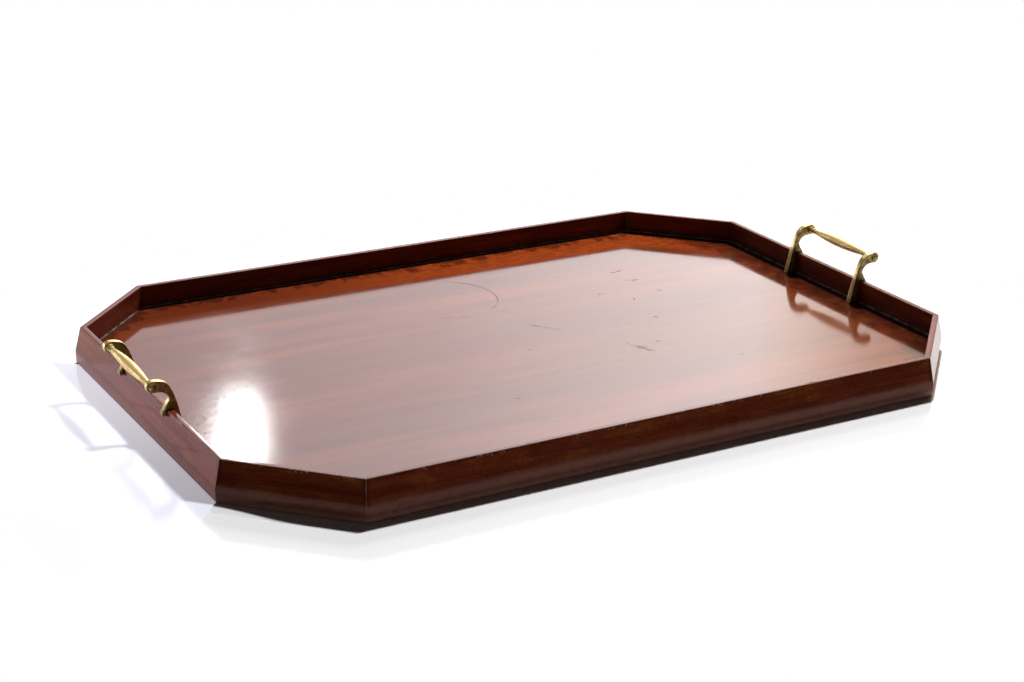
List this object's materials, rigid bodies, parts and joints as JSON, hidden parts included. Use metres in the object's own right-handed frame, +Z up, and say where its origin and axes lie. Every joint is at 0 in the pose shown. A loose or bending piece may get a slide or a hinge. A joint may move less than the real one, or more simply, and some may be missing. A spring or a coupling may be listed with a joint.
{
  "type": "serving tray",
  "caption": "Octagonal wooden serving tray with a low moulded gallery, mitred corners and a turned brass carrying grip on swan-neck brackets over each short end.",
  "frame": {"origin": "middle of the tray's plan, at the level of the table it stands on", "axes": "+X along the tray towards one of its handles, +Y across the tray, +Z up"},
  "size_m": [0.6644, 0.4408, 0.054],
  "materials": {
    "board_mahogany": "french polished",
    "rail_mahogany": "french polished",
    "key_wood": "bare",
    "cast_brass": "cast, worn bright at the edges",
    "turned_brass": "turned and polished",
    "screw_brass": "dull"
  },
  "bodies": {
    "tray": {"tray_board": "board_mahogany", "front_rail": "rail_mahogany", "back_rail": "rail_mahogany", "left_rail": "rail_mahogany", "right_rail": "rail_mahogany", "front_left_corner_rail": "rail_mahogany", "front_right_corner_rail": "rail_mahogany", "back_left_corner_rail": "rail_mahogany", "back_right_corner_rail": "rail_mahogany", "mitre_tongue_1": "key_wood", "mitre_tongue_2": "key_wood", "mitre_tongue_3": "key_wood", "mitre_tongue_4": "key_wood", "mitre_tongue_5": "key_wood", "mitre_tongue_6": "key_wood", "mitre_tongue_7": "key_wood", "mitre_tongue_8": "key_wood", "left_front_bracket": "cast_brass", "left_back_bracket": "cast_brass", "right_front_bracket": "cast_brass", "right_back_bracket": "cast_brass", "left_front_screw": "screw_brass", "left_back_screw": "screw_brass", "right_front_screw": "screw_brass", "right_back_screw": "screw_brass"},
    "left_grip": {"left_grip": "turned_brass"},
    "right_grip": {"right_grip": "turned_brass"}
  },
  "joints": [
    {"name": "left_grip_turn", "type": "hinge", "parent": "tray", "child": "left_grip", "pos_m": [-0.3277, 0, 0.0495], "axis": [0, 1, 0], "continuous": true},
    {"name": "right_grip_turn", "type": "hinge", "parent": "tray", "child": "right_grip", "pos_m": [0.3277, 0, 0.0495], "axis": [0, 1, 0], "continuous": true}
  ]
}
